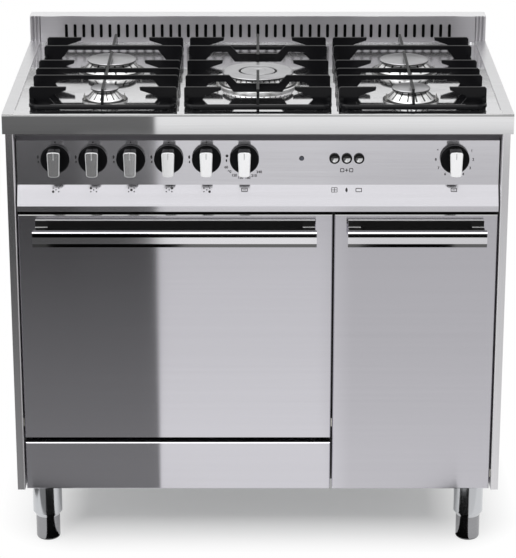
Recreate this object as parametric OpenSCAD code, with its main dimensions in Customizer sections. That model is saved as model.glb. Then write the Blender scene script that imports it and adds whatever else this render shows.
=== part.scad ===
// Free-standing range cooker: a five-burner gas hob with cast pan supports, a wide
// and a narrow oven with drop-down doors, a storage drawer, seven knobs and three
// push buttons on a folded steel fascia, all on four levelling legs.
// Millimetres. +X is the cooker's right seen from the front, +Y its back, +Z up.
// The origin is on the floor at the centre of the footprint, door grips included.

/* [Hob] */
// Width of the hob, the widest part of the cooker
hob_w = 900; // [870:5:960]
// Depth of the hob, from the apron's face to the back of the upstand
hob_d = 600; // [590:5:650]
// Height of the hob's rim above the floor
hob_h = 850; // [840:5:900]
// Height of the apron and of the hob's side skirts
apron_h = 36; // [30:1:42]
// Width of the raised rim round the pan
rim_w = 20; // [16:1:26]
// Depth of the pan below the rim
pan_drop = 3; // [2:0.5:5]
// Corner radius of the pan
pan_r = 16; // [8:1:24]
// Radius of the folded edge along the top of the apron
apron_r = 4; // [2:0.5:8]
// Radius of the dish pressed round the centre burner
dish_r = 100; // [92:1:110]
// Depth of that dish
dish_drop = 2; // [1:0.5:3]

/* [Upstand] */
// Height of the upstand above the hob's rim
upstand_h = 50; // [42:1:80]
// Depth of the upstand
upstand_d = 40; // [30:1:44]
// Number of vent slots
slot_count = 45; // [31:2:47]
// Distance from slot to slot
slot_pitch = 17.2; // [15:0.1:18]
// Width of a slot
slot_w = 6; // [4:0.5:8]
// Height of a slot
slot_h = 27; // [18:1:30]
// Height of the slots' lower ends above the rim
slot_up = 7; // [5:1:10]
// Width of the ribbed piece at each end
upstand_end_w = 21; // [16:1:28]

/* [Casing] */
// Height of the casing's base above the floor
base_h = 123; // [110:1:140]
// Thickness of the folded sheet
sheet = 2; // [1.5:0.1:2.5]
// How far the hob stands out past each side panel
hob_overhang = 3; // [3:0.5:8]
// Width of the front return of each side panel
side_return = 14; // [10:1:18]
// Distance from the hob's back edge to the back panel
back_inset = 28; // [24:1:40]
// Distance from the hob's back edge to the side panels' back edge
side_inset = 4; // [2:1:8]
// Space between the doors' backs and the front frame
seal_space = 8; // [6:0.5:10]
// Number of louvres in the back panel
louvre_count = 12; // [6:1:14]

/* [Fascia] */
// Distance of the fascia's upright face behind the apron's face
fascia_setback = 38; // [34:1:44]
// Distance from the hob's rim down to the fascia's top edge
fascia_top = 58; // [50:1:62]
// Height of the upright face
fascia_face_h = 82; // [76:1:90]
// Height of the slanted face
fascia_slant_h = 35; // [30:1:38]
// Height of the lower strip
fascia_strip_h = 10; // [6:1:14]
// Gap between the fascia and each side panel's return
fascia_gap = 3; // [2:0.5:5]

/* [Knobs] */
// Height of the knobs' centres below the hob's rim
knob_down = 91; // [89:1:96]
// Distance from the left side panel's face to the first knob
first_knob_in = 86; // [80:1:100]
// Distance between knobs of the left row
knob_pitch = 67.4; // [62:0.1:69]
// Distance from the right side panel's face to the last knob
last_knob_in = 96.5; // [80:0.5:110]
// Diameter of a knob's round skirt
knob_d = 52; // [46:1:56]
// Thickness of the skirt
skirt_t = 10; // [8:1:12]
// Clearance between skirt and fascia
knob_clear = 2; // [1:0.5:3]
// Length of the grip bar across the knob
bar_len = 46; // [40:1:50]
// Width of the grip bar at its pointer end
bar_top_w = 23; // [18:0.5:24]
// Width of the grip bar at its other end
bar_foot_w = 19.5; // [16:0.5:22]
// Corner radius of the grip bar
bar_corner = 4; // [3:0.5:6]
// Distance of the grip bar's face ahead of the fascia
knob_reach = 44; // [38:1:48]
// Diameter of a tap spindle
spindle_d = 8; // [6:0.5:10]
// Radial running clearance of spindles and hinge pins
run_clear = 0.05; // [0.02:0.01:0.1]

/* [Buttons and lamp] */
// Distance of the middle button to the right of the cooker's centre
buttons_x = 158.5; // [145:0.5:170]
// Distance from button to button
button_pitch = 21.8; // [20:0.1:24]
// Outer diameter of a button's bezel
bezel_d = 19; // [17:0.5:19.5]
// Diameter of a button
button_d = 12.4; // [10:0.1:13]
// Travel of a button
button_travel = 3; // [2:0.5:4]
// Distance of the lamp to the right of the cooker's centre
lamp_x = 78; // [70:1:100]
// Diameter of the lamp's lens
lamp_d = 9; // [7:0.5:12]

/* [Doors] */
// Distance of the doors' faces behind the apron's face
door_setback = 20; // [16:1:24]
// Thickness of a door
door_t = 38; // [34:1:42]
// Size of the fold along the front edges of the doors and the drawer
fold = 1.4; // [0.8:0.2:1.6]
// Width of the right door
right_door_w = 292; // [270:1:320]
// Gap between the two doors
door_gap = 4; // [4:0.5:6]
// Gap between a door and the side panel's return
side_gap = 3.5; // [3:0.5:5]
// Gap between the doors and the fascia
door_top_gap = 6; // [4:0.5:8]
// Height of the right door's and the drawer's bottom edge above the base
door_up = 2; // [0:0.5:6]
// Height of the drawer's front
drawer_h = 93; // [84:1:110]
// Gap between the drawer and the left door
drawer_gap = 9; // [9:0.5:12]
// Height that each door's raised liner stands above its back
plug_t = 4; // [2:0.5:5]
// Distance of a hinge axis behind the door's face
hinge_back = 16; // [14:0.5:18]
// Height of a hinge axis above the door's bottom edge
hinge_up = 12; // [11:0.5:13]
// Diameter of a hinge pin
hinge_pin_d = 8; // [6:0.5:9]
// Distance from the door's edge to the hinge arm's centre
hinge_in = 30; // [24:1:40]
// Thickness of a hinge arm
hinge_arm_t = 8; // [6:0.5:9]

/* [Door handles] */
// Distance of the grips' faces ahead of the doors' faces
handle_reach = 48; // [42:1:56]
// Height of a grip
grip_h = 29; // [24:1:32]
// Thickness of a grip
grip_t = 16; // [12:1:18]
// Distance from the doors' top edge down to the grips
grip_down = 18; // [14:1:26]
// Distance from the left door's edges to its grip's ends
left_grip_in = 29; // [20:1:60]
// Distance from the right door's edges to its grip's ends
right_grip_in = 22.5; // [18:0.5:50]
// Width of a stand-off post
post_w = 22; // [16:1:26]
// Thickness of the black trim behind a grip
trim_t = 3; // [2:0.5:5]
// Height of that trim
trim_h = 40; // [36:1:44]
// How far that trim reaches above the grip
trim_up = 9; // [4:1:12]

/* [Ovens] */
// Distance from the left door's side edges to the left oven's inner walls
left_oven_in = 46.5; // [41.5:0.5:61.5]
// Inner height of the left oven
left_oven_h = 348; // [320:1:352]
// Distance from the right door's side edges to the right oven's inner walls
right_oven_in = 41; // [38:0.5:51]
// Inner height of the right oven
right_oven_h = 440; // [400:5:450]
// Depth of the ovens behind the front frame
oven_d = 430; // [390:5:460]
// Height of the ovens' floors above their doors' bottom edges
oven_up = 40; // [38:1:44]
// Width of the flange round an oven's mouth
flange_w = 14; // [12:1:15]
// Width of a door gasket
gasket_w = 9; // [7:0.5:10]
// Clearance between a gasket and its closed door
gasket_clear = 0.3; // [0.3:0.1:0.5]
// Number of rack levels
rack_levels = 4; // [3:1:5]
// Wire diameter of a rack's frame
rack_frame_d = 6; // [5:0.5:8]
// Wire diameter of a rack's bars
rack_wire_d = 3; // [2.5:0.5:4]
// Tube diameter of the grill elements
element_d = 8; // [6:0.5:10]
// Distance from an oven's side walls to its grill element
element_in = 40; // [30:1:50]
// Distance from an oven's roof down to its grill element
element_down = 22; // [16:1:26]
// Distance from an oven's mouth to the front of its grill element
element_front = 80; // [60:1:110]
// Radius of the grill elements' bends
element_bend = 20; // [14:1:26]

/* [Legs] */
// Distance from a side panel's face to a leg's centre
leg_in_x = 49; // [45:1:70]
// Distance from the apron's face to a front leg's centre
leg_front = 80; // [80:1:110]
// Distance from the hob's back edge to a rear leg's centre
leg_rear = 80; // [70:1:120]
// Diameter of a leg's sleeve
sleeve_d = 55; // [48:1:56]
// Diameter of a foot
foot_d = 45; // [38:1:46]
// Length of a leg's sleeve, which leaves the foot below it
sleeve_l = 75; // [63:1:78]

/* [Burners] */
// Distance from the apron's face to the front burners
front_burner = 112; // [108:1:116]
// Distance from the apron's face to the rear burners
rear_burner = 326; // [322:1:330]
// Distance from the apron's face to the centre burner
wok_burner = 232; // [228:1:238]
// Cap diameter of the rear left burner
cap_rl_d = 92; // [84:1:94]
// Cap diameter of the rear right burner
cap_rr_d = 92; // [84:1:94]
// Cap diameter of the front left burner
cap_fl_d = 50; // [44:1:60]
// Cap diameter of the front right burner
cap_fr_d = 69; // [60:1:72]
// Outer diameter of the centre burner's ring cap
wok_ring_d = 131; // [124:1:132]
// Diameter of the centre burner's inner cap
wok_cap_d = 63; // [56:1:66]
// Height of the burners' caps above the pan
burner_h = 25; // [22:1:27]
// Thickness of a cap
cap_t = 5; // [4:0.5:6]
// Number of flame ports round each small burner
port_count = 16; // [12:1:20]
// Number of teeth round the centre burner
tooth_count = 36; // [24:1:40]

/* [Pan supports] */
// Distance between the hob's side edge and the outer pan supports
grid_margin = 44; // [38:1:50]
// Gap between neighbouring pan supports
grid_gap = 13; // [8:1:20]
// Height of the pan supports above the pan
grid_h = 37; // [35:1:42]
// Distance from the apron's face to the pan supports' front bars
grid_front = 34; // [30:1:38]
// Distance from the apron's face to the pan supports' rear bars
grid_rear = 487; // [480:1:495]
// Diameter of the front and rear bars
grid_bar_d = 9; // [8:0.5:11]
// Radius of the frame's corners, to the middle of the bars
grid_corner = 14; // [11:1:18]
// Thickness of the upright blades
blade_t = 5; // [4:0.5:7]
// Length of the side fingers
finger_l = 66; // [56:1:68]
// Height of the blades' thin parts
blade_h = 8; // [6:0.5:9]

/* [Gas and mains] */
// Outer diameter of the gas rail
rail_d = 22; // [18:1:24]
// Radius of a tap's body
tap_r = 13; // [11:1:14]
// Width of a tap's saddle on the rail
saddle_w = 20; // [16:1:24]
// Length of a tap's outlet behind the rail
outlet_l = 14; // [10:1:20]
// Depth of a tap's bore for the spindle
tap_bore = 29; // [24:1:32]
// Distance from the fascia's sheet to the taps
tap_gap = 8; // [6:1:10]
// Thread diameter of the gas inlet, G 1/2
inlet_d = 20.96; // [16.66:0.01:26.44]
// Length of the inlet's thread
inlet_l = 18; // [14:1:20]
// Width of the terminal box on the back
terminal_w = 110; // [90:1:140]
// Height of the terminal box
terminal_h = 70; // [60:1:90]
// Diameter of the terminal box's cable entry
gland_d = 14; // [10:1:20]

/* [Drawer] */
// Depth of the drawer's box
drawer_d = 440; // [380:5:480]
// Distance from the drawer front's side edges to the drawer's box
drawer_in = 15; // [12:1:30]
// Height of the drawer's box
drawer_box_h = 66; // [50:1:70]
// Width of a drawer runner
runner_w = 12; // [9:1:16]
// Height that a runner's lip stands above the drawer's floor
runner_lip = 16; // [10:1:24]
// Distance from the drawer's back to the runners' rear ends
runner_end = 40; // [20:1:60]
// Sliding clearance between the drawer and its runners
runner_clear = 0.3; // [0.3:0.1:0.5]

/* [Hidden] */
$fn = 48;

// Planes across the depth
y_apron = (handle_reach - door_setback - hob_d) / 2;
y_rear = y_apron + hob_d;
y_door = y_apron + door_setback;
y_door_back = y_door + door_t;
y_frame = y_door_back + seal_space;
y_fascia = y_apron + fascia_setback;
y_back = y_rear - back_inset;
y_side_end = y_rear - side_inset;
y_upstand = y_rear - upstand_d;
y_grip = y_door - handle_reach;

// Levels
z_pan = hob_h - pan_drop;
z_skirt = hob_h - apron_h;
z_fascia_top = hob_h - fascia_top;
z_slant_top = z_fascia_top - fascia_face_h;
z_strip_top = z_slant_top - fascia_slant_h;
z_fascia = z_strip_top - fascia_strip_h;
z_knob = hob_h - knob_down;
z_door_top = z_fascia - door_top_gap;
z_right_door = base_h + door_up;
z_drawer_top = z_right_door + drawer_h;
z_left_door = z_drawer_top + drawer_gap;
z_grip = z_door_top - grip_down - grip_h;
z_base = base_h + sheet;
foot_h = base_h - sleeve_l;
z_frame_top = z_skirt - 2;
z_grid = z_pan + grid_h;
z_cap = z_pan + burner_h;

// Places across the width
x_side = hob_w / 2 - hob_overhang;
x_wall = x_side - sheet;
x_return = x_side - side_return;
x_fascia = x_return - fascia_gap;
x_door = x_return - side_gap;
x_right_door = x_door - right_door_w;
x_left_door = x_right_door - door_gap;
x_split = x_right_door - door_gap / 2;
x_left_oven = (x_left_door - x_door) / 2;
x_right_oven = (x_right_door + x_door) / 2;
x_upstand = hob_w / 2 - upstand_end_w;
knob_xs = [for (i = [0 : 5]) first_knob_in - x_side + i * knob_pitch, x_side - last_knob_in];
button_xs = [for (i = [-1 : 1]) buttons_x + i * button_pitch];
leg_ys = [y_apron + leg_front, y_rear - leg_rear];

// Ovens: widths, floor levels and wall
left_oven_w = x_left_door + x_door - 2 * left_oven_in;
right_oven_w = right_door_w - 2 * right_oven_in;
z_left_oven = z_left_door + oven_up;
z_right_oven = z_right_door + oven_up;
flange_t = sheet;
rib_w = 8;
rib_h = 5;
rack_clear = 1;

// Hinge geometry
y_hinge = y_door + hinge_back;
eye_r = hinge_pin_d / 2 + 4.5;
cheek_t = 5;
cheek_clear = 0.5;
eye_clear = 1;
slot_x = hinge_arm_t + 2 * cheek_clear;

// Hob layout
grid_w = (hob_w - 2 * grid_margin - 2 * grid_gap) / 3;
grid_pitch = grid_w + grid_gap;
burners = [[-grid_pitch, rear_burner, cap_rl_d], [grid_pitch, rear_burner, cap_rr_d],
  [-grid_pitch, front_burner, cap_fl_d], [grid_pitch, front_burner, cap_fr_d]];
burner_ring = 16;
ring_t = 3;
cup_r = 18;
cup_clear = 0.5;
cup_down = 24;
wok_base_r = wok_ring_d / 2 + 9;

// Gas rail
y_rail = y_frame + 26;
z_rail = z_knob - rail_d / 2 - 12;
y_tap = y_fascia + sheet + tap_gap;
x_inlet = x_wall - 30;

// A span of half-width r about c, and a span given from c
function around(c, r) = [c - r, c + r];
function shift(c, v) = [c + v[0], c + v[1]];

// A block from corner to corner
module block(x, y, z) {
  translate([x[0], y[0], z[0]])
    cube([x[1] - x[0], y[1] - y[0], z[1] - z[0]]);
}

// A block whose four front edges are rounded off by the fold
module front_block(x, y, z) {
  hull() {
    block(x, shift(y[0], [fold, y[1] - y[0]]), z);
    block(shift(x[0], [fold, x[1] - x[0] - fold]), y, shift(z[0], [fold, z[1] - z[0] - fold]));
  }
}

// A round bar along X, along Y or upright
module bar_x(r, x, y, z) {
  translate([x[0], y, z]) rotate([0, 90, 0]) cylinder(r = r, h = x[1] - x[0]);
}
module bar_y(r, x, y, z) {
  translate([x, y[0], z]) rotate([-90, 0, 0]) cylinder(r = r, h = y[1] - y[0]);
}
module bar_z(r, x, y, z) {
  translate([x, y, z[0]]) cylinder(r = r, h = z[1] - z[0]);
}

// A profile drawn in Y and Z and drawn out along X, or drawn in X and Z and along Y
module along_x(x) {
  translate([x[0], 0, 0]) rotate([90, 0, 90]) linear_extrude(x[1] - x[0]) children();
}
module along_y(y) {
  translate([0, y[1], 0]) rotate([90, 0, 0]) linear_extrude(y[1] - y[0]) children();
}

// A rounded rectangle, centred
module rounded(w, d, r) {
  square([w - 2 * r, d], center = true);
  square([w, d - 2 * r], center = true);
  for (x = [-1, 1], y = [-1, 1])
    translate([x * (w / 2 - r), y * (d / 2 - r)]) circle(r = r);
}

// An upright slot with round ends, centred in X, from z = 0 up
module slot(w, h) {
  translate([-w / 2, w / 2]) square([w, h - w]);
  translate([0, w / 2]) circle(d = w);
  translate([0, h - w / 2]) circle(d = w);
}

// ---------------------------------------------------------------- casing

// One side panel for the right: outer wall, front return with its jamb, rear return
module side_panel() {
  block([x_wall, x_side], [y_door, y_side_end], [base_h, hob_h - sheet]);
  block([x_return, x_wall], [y_door, y_door + sheet], [base_h, z_frame_top]);
  block([x_return, x_return + sheet], [y_door, y_frame], [base_h, z_frame_top]);
  block([x_return, x_wall], [y_side_end - sheet, y_side_end], [base_h, z_frame_top]);
}

module side_panel_left() {
  color("gray") mirror([1, 0, 0]) side_panel();
}

module side_panel_right() {
  color("lightgray") side_panel();
}

module base_pan() {
  color("darkgray")
    difference() {
      union() {
        block([-x_wall, x_wall], [y_frame, y_back], [base_h, z_base]);
        block([x_split - 11, x_split - sheet / 2], [y_frame + 40, y_back - 20],
          [z_base, z_base + sheet]);
      }
      for (i = [-2 : 2])
        bar_z(12, x_left_oven + i * left_oven_w / 5, (y_frame + y_back) / 2,
          [base_h - 1, z_base + 1]);
      for (i = [-1, 1])
        bar_z(12, x_right_oven + i * right_oven_w / 4, (y_frame + y_back) / 2,
          [base_h - 1, z_base + 1]);
    }
}

// The back panel with its louvred vents, cable hole and gas pipe hole
module back_panel() {
  color("darkgray")
    difference() {
      union() {
        block([-x_wall, x_wall], [y_back, y_back + sheet], [base_h, z_frame_top]);
        for (i = [0 : louvre_count - 1])
          translate([0, y_back + sheet, z_left_oven + 40 + i * 22])
            along_x([-x_side / 2, x_side / 2])
              polygon([[0, 0], [5, 0], [5, 1.5], [0, 8]]);
      }
      for (i = [0 : louvre_count - 1])
        block([8 - x_side / 2, x_side / 2 - 8], [y_back - 1, y_back + sheet + 3.5],
          [z_left_oven + 37 + i * 22, z_left_oven + 41 + i * 22]);
      bar_y(inlet_d / 2 + 4, x_inlet, [y_back - 1, y_back + sheet + 1], z_rail);
    }
}

// Front frame: the plate that carries both ovens, with the drawer's mouth below and
// the opening for the controls above
module front_frame() {
  color("dimgray")
    difference() {
      block([-x_wall, x_wall], [y_frame, y_frame + sheet], [z_base, z_frame_top]);
      block(around(x_left_oven, left_oven_w / 2 + sheet), shift(y_frame, [-1, sheet + 1]),
        shift(z_left_oven, [-sheet, left_oven_h + sheet]));
      block(around(x_right_oven, right_oven_w / 2 + sheet), shift(y_frame, [-1, sheet + 1]),
        shift(z_right_oven, [-sheet, right_oven_h + sheet]));
      block([-x_door + drawer_in - 6, x_left_door - drawer_in + 6], shift(y_frame, [-1, sheet + 1]),
        [z_base + 3, z_drawer_top - 8]);
      block([-x_fascia + 20, x_fascia - 20], shift(y_frame, [-1, sheet + 1]),
        [z_slant_top + 6, z_fascia_top - 8]);
    }
}

module centre_partition() {
  color("darkgray")
    difference() {
      block(around(x_split, sheet / 2), [y_frame + sheet, y_back], [z_base, z_slant_top]);
      for (i = [0 : 3])
        bar_x(16, around(x_split, sheet), y_frame + 110 + i * 90, z_door_top - 60);
    }
}

module leg_sleeves() {
  color("silver")
    for (x = [-1, 1], y = leg_ys)
      translate([x * (x_side - leg_in_x), y, 0])
        rotate_extrude()
          polygon([[foot_d / 4, foot_h], [sleeve_d / 2 - 5, foot_h], [sleeve_d / 2, foot_h + 8],
            [sleeve_d / 2, base_h], [foot_d / 4, base_h]]);
}

module leg_feet() {
  color("darkgray")
    for (x = [-1, 1], y = leg_ys)
      translate([x * (x_side - leg_in_x), y, 0]) {
        rotate_extrude() {
          translate([0, 6]) square([foot_d / 2, foot_h - 6]);
          square([foot_d / 2 - 6, 6]);
          intersection() {
            translate([foot_d / 2 - 6, 6]) circle(r = 6);
            translate([foot_d / 2 - 6, 0]) square([6, 6]);
          }
        }
        cylinder(r = foot_d / 4 - 0.3, h = base_h - 4);
      }
}

// ---------------------------------------------------------------- hob

// Where the burners' cups pass through the pan
module cup_holes(r) {
  for (b = burners) bar_z(r, b[0], y_apron + b[1], [z_pan - 20, z_pan + 1]);
  bar_z(r + 20, 0, y_apron + wok_burner, [z_pan - 20, z_pan + 1]);
}

// The hob: a folded tray with apron and skirts, its pan pressed below the rim
module hob_top() {
  pan_y = (y_apron + rim_w + y_upstand - rim_w / 2) / 2;
  pan_w = hob_w - 2 * rim_w;
  pan_d = hob_d - upstand_d - 1.5 * rim_w;
  color("gainsboro")
    difference() {
      union() {
        difference() {
          along_x([-hob_w / 2, hob_w / 2]) {
            translate([y_apron + apron_r, z_skirt]) square([hob_d - apron_r, apron_h]);
            translate([y_apron, z_skirt]) square([hob_d, apron_h - apron_r]);
            translate([y_apron + apron_r, hob_h - apron_r]) circle(r = apron_r);
          }
          block([-1, 1] * (hob_w / 2 - sheet), [y_apron + sheet, y_rear - sheet],
            [z_skirt - 1, hob_h - sheet]);
        }
        block([-1, 1] * (hob_w / 2 - sheet), shift(y_apron, [sheet, sheet + 14]),
          shift(z_skirt, [0, sheet]));
        translate([0, pan_y, z_pan - sheet])
          linear_extrude(pan_drop) rounded(pan_w + 2 * sheet, pan_d + 2 * sheet, pan_r + sheet);
        bar_z(dish_r + sheet, 0, y_apron + wok_burner, [z_pan - dish_drop - sheet, z_pan - 1]);
      }
      translate([0, pan_y, z_pan]) linear_extrude(pan_drop + 1) rounded(pan_w, pan_d, pan_r);
      translate([0, y_apron + wok_burner, z_pan - dish_drop])
        cylinder(r1 = dish_r - 6, r2 = dish_r, h = dish_drop + 0.01);
      cup_holes(cup_r + cup_clear);
    }
}

module upstand() {
  color("lightgray")
    difference() {
      block([-x_upstand, x_upstand], [y_upstand, y_rear], shift(hob_h, [0, upstand_h]));
      block([-x_upstand - 1, x_upstand + 1], [y_upstand + sheet, y_rear - sheet],
        shift(hob_h, [-1, upstand_h - sheet]));
      for (i = [0 : slot_count - 1])
        translate([(i - (slot_count - 1) / 2) * slot_pitch, 0, hob_h + slot_up])
          along_y(shift(y_upstand, [-1, sheet + 1])) slot(slot_w, slot_h);
    }
}

// The two end pieces of the upstand, each with upright ribs on its face
module upstand_ends() {
  color("silver")
    for (s = [-1, 1])
      translate([s * (x_upstand + upstand_end_w / 2), (y_upstand + y_rear) / 2, hob_h])
        linear_extrude(upstand_h) {
          translate([-upstand_end_w / 2, 3 - upstand_d / 2])
            square([upstand_end_w, upstand_d - 3]);
          for (i = [-1 : 1])
            translate([i * upstand_end_w / 3, 3 - upstand_d / 2])
              circle(r = 3);
        }
}

// A burner's body: base ring, flared cone with flame ports, cup below the pan
module burner_body(b) {
  cap_r = b[2] / 2;
  cone_z = z_cap - cap_t;
  translate([b[0], y_apron + b[1], 0])
    difference() {
      rotate_extrude()
        polygon([[0, z_pan - cup_down], [cup_r, z_pan - cup_down], [cup_r, z_pan],
          [cap_r + burner_ring, z_pan], [cap_r + burner_ring, z_pan + ring_t - 1],
          [cap_r + burner_ring - 1, z_pan + ring_t], [cap_r + 10, z_pan + ring_t],
          [cap_r + 9, z_pan + ring_t + 2], [cap_r - 5, cone_z - 2], [cap_r - 5, cone_z],
          [0, cone_z]]);
      for (i = [0 : port_count - 1])
        rotate([0, 0, (i + 0.5) * 360 / port_count])
          translate([cap_r - 9, -0.8, cone_z - 5]) cube([20, 1.6, 5.5]);
    }
}

// A burner's cap: a disc with a domed, softly rounded top
module burner_cap(b) {
  cap_r = b[2] / 2;
  translate([b[0], y_apron + b[1], z_cap - cap_t])
    rotate_extrude()
      polygon([[0, 0], [cap_r - 1, 0], [cap_r, 1], [cap_r, cap_t - 2], [cap_r - 1, cap_t - 1],
        [cap_r - 3, cap_t - 0.4], [cap_r / 2, cap_t], [0, cap_t]]);
}

module burner_rear_left() {
  color("lightgray") burner_body(burners[0]);
}

module burner_rear_right() {
  color("lightgray") burner_body(burners[1]);
}

module burner_front_left() {
  color("lightgray") burner_body(burners[2]);
}

module burner_front_right() {
  color("lightgray") burner_body(burners[3]);
}

module cap_rear_left() {
  color("gray") burner_cap(burners[0]);
}

module cap_rear_right() {
  color("gray") burner_cap(burners[1]);
}

module cap_front_left() {
  color("gray") burner_cap(burners[2]);
}

module cap_front_right() {
  color("gray") burner_cap(burners[3]);
}

// The centre burner's body: wide base in the pan's dish, toothed outer port ring,
// inner port ring, cup below the pan
module burner_wok() {
  z_dish = z_pan - dish_drop;
  ring_z = z_cap - cap_t;
  ring_r = wok_ring_d / 2;
  inner_r = wok_cap_d / 2;
  color("lightgray")
    translate([0, y_apron + wok_burner, 0])
      difference() {
        rotate_extrude()
          polygon([[0, z_dish - cup_down], [cup_r + 20 - cup_clear, z_dish - cup_down],
            [cup_r + 20 - cup_clear, z_dish], [wok_base_r, z_dish],
            [wok_base_r, z_dish + 3], [ring_r + 3, z_dish + 6], [ring_r - 4, ring_z - 3],
            [ring_r - 4, ring_z], [inner_r + 8, ring_z], [inner_r + 8, ring_z - 8],
            [inner_r - 3, ring_z - 8], [inner_r - 3, ring_z], [0, ring_z]]);
        for (i = [0 : tooth_count - 1])
          rotate([0, 0, i * 360 / tooth_count])
            translate([ring_r - 9, -1.2, ring_z - 4]) cube([12, 2.4, 4.5]);
        for (i = [0 : port_count - 1])
          rotate([0, 0, i * 360 / port_count])
            translate([inner_r - 7, -0.8, ring_z - 4]) cube([6, 1.6, 4.5]);
      }
}

module wok_ring() {
  r = wok_ring_d / 2;
  inner = wok_cap_d / 2 + 4;
  color("darkgray")
    translate([0, y_apron + wok_burner, z_cap - cap_t])
      rotate_extrude()
        polygon([[inner, 0], [r - 1, 0], [r, 1], [r, cap_t - 2], [r - 1, cap_t - 1],
          [r - 4, cap_t], [inner + 2, cap_t], [inner, cap_t - 1]]);
}

module wok_cap() {
  r = wok_cap_d / 2;
  color("gray")
    translate([0, y_apron + wok_burner, z_cap - cap_t])
      rotate_extrude()
        polygon([[0, 0], [r - 1, 0], [r, 1], [r, cap_t - 1], [r - 2, cap_t], [r / 2, cap_t],
          [r / 2 - 1, cap_t - 0.6], [0, cap_t - 0.6]]);
}

// Spark electrodes and flame probes: a ceramic with its pin, two to each burner
module electrodes() {
  color("white") {
    for (b = burners, a = [-20, 200])
      translate([b[0], y_apron + b[1], z_pan + ring_t])
        rotate([0, 0, a]) translate([b[2] / 2 + burner_ring - 3, 0, 0]) {
          cylinder(r = 2, h = burner_h - 16);
          cylinder(r = 0.8, h = burner_h - 12);
        }
    for (a = [-15, 195])
      translate([0, y_apron + wok_burner, z_pan - dish_drop])
        rotate([0, 0, a]) translate([wok_base_r + 2.5, 0, 0]) {
          cylinder(r = 2, h = burner_h - 12);
          cylinder(r = 0.8, h = burner_h - 8);
        }
  }
}

// Underside heights of a pan support's blades
blade_foot = z_pan + 6;
thin_z = z_grid - blade_h;
front_row = front_burner - 50;
bar_row = front_burner + 36;
middle_row = front_burner + 88;
rear_row = rear_burner - 64;
rear_bar_row = rear_burner + 52;
back_row = rear_burner + 121;

// One side finger from the left, starting at the side bar at x = 0
module side_finger() {
  polygon([[0, blade_foot], [28, blade_foot], [38, thin_z - 7], [finger_l - 1, thin_z + 2],
    [finger_l, z_grid - 1], [finger_l - 1, z_grid], [3, z_grid], [0, z_grid - 3]]);
}

// A bar right across, deep at both ends; half is its half length
module cross_bar(half) {
  polygon([[-half, blade_foot], [28 - half, blade_foot], [46 - half, thin_z], [half - 46, thin_z],
    [half - 28, blade_foot], [half, blade_foot], [half, z_grid - 3], [half - 3, z_grid],
    [3 - half, z_grid], [-half, z_grid - 3]]);
}

// The same with its middle dropped, to leave room for a round-bottomed pan
module dropped_bar(half) {
  polygon([[-half, blade_foot], [28 - half, blade_foot], [46 - half, thin_z - 4],
    [-58, thin_z - 4], [-44, blade_foot], [44, blade_foot], [58, thin_z - 4],
    [half - 46, thin_z - 4], [half - 28, blade_foot], [half, blade_foot], [half, z_grid - 3],
    [half - 3, z_grid], [52, z_grid], [38, z_grid - 15], [-38, z_grid - 15], [-52, z_grid],
    [3 - half, z_grid], [-half, z_grid - 3]]);
}

// The section of a pan support's bar: a square of width w with cut corners, h high
module bar_section(w, h) {
  c = w * 0.28;
  polygon([[c - w / 2, 0], [w / 2 - c, 0], [w / 2, c], [w / 2, h - c], [w / 2 - c, h],
    [c - w / 2, h], [-w / 2, h - c], [-w / 2, c]]);
}

// The low frame of a pan support: front and rear bars, taller side rails, round corners
// with a foot under each
module grid_frame(half) {
  r = grid_corner;
  z0 = z_pan + 3;
  x1 = half - grid_bar_d / 2;
  ys = [y_apron + grid_front, y_apron + grid_rear];
  for (y = ys)
    translate([0, y, z0])
      along_x(around(0, x1 - r)) bar_section(grid_bar_d, grid_bar_d);
  for (i = [0, 1]) {
    translate([i == 0 ? -x1 : x1, 0, z0]) {
      along_y([ys[0] + r, ys[1] - r]) bar_section(grid_bar_d, grid_bar_d);
      along_y([ys[0] + r + 4, ys[1] - r - 4]) bar_section(grid_bar_d - 1, grid_bar_d + 8);
    }
    for (j = [0, 1])
      translate([(2 * i - 1) * (x1 - r), ys[j] + (1 - 2 * j) * r, 0])
        mirror([1 - i, 0, 0]) mirror([0, 1 - j, 0]) {
          translate([0, 0, z0])
            rotate_extrude(angle = 90) translate([r, 0]) bar_section(grid_bar_d, grid_bar_d);
          bar_z(grid_bar_d / 2 + 1.5, r * 0.7, r * 0.7, [z_pan, z0 + 2]);
        }
  }
}

// The blades that run across: p is the distance from the apron's face
module across(p) {
  along_y(shift(y_apron + p, [-blade_t / 2, blade_t / 2])) children();
}

// A pan support over a front and a rear burner
module pan_grid() {
  half = grid_w / 2;
  grid_frame(half);
  for (p = [front_row, rear_row, back_row], s = [0, 1])
    across(p) mirror([s, 0]) translate([-half, 0]) side_finger();
  for (p = [bar_row, middle_row, rear_bar_row])
    across(p) cross_bar(half);
  along_x([-blade_t / 2, blade_t / 2])
    translate([y_apron, 0]) {
      polygon([[grid_front, blade_foot], [grid_front + 14, blade_foot],
        [front_row - 2, thin_z + 1], [front_burner + 2, thin_z + 1],
        [front_burner + 2, z_grid], [grid_front + 12, z_grid],
        [grid_front - 2, blade_foot + 8]]);
      polygon([[bar_row, thin_z + 1], [rear_burner + 7, thin_z + 1],
        [rear_burner + 7, z_grid], [bar_row, z_grid]]);
      polygon([[rear_bar_row, thin_z + 1], [back_row, thin_z - 4],
        [grid_rear - 14, blade_foot], [grid_rear, blade_foot],
        [grid_rear + 2, blade_foot + 8], [grid_rear - 12, z_grid], [rear_bar_row, z_grid]]);
    }
}

module grid_left() {
  color("black") translate([-grid_pitch, 0, 0]) pan_grid();
}

module grid_right() {
  color("black") translate([grid_pitch, 0, 0]) pan_grid();
}

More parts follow.
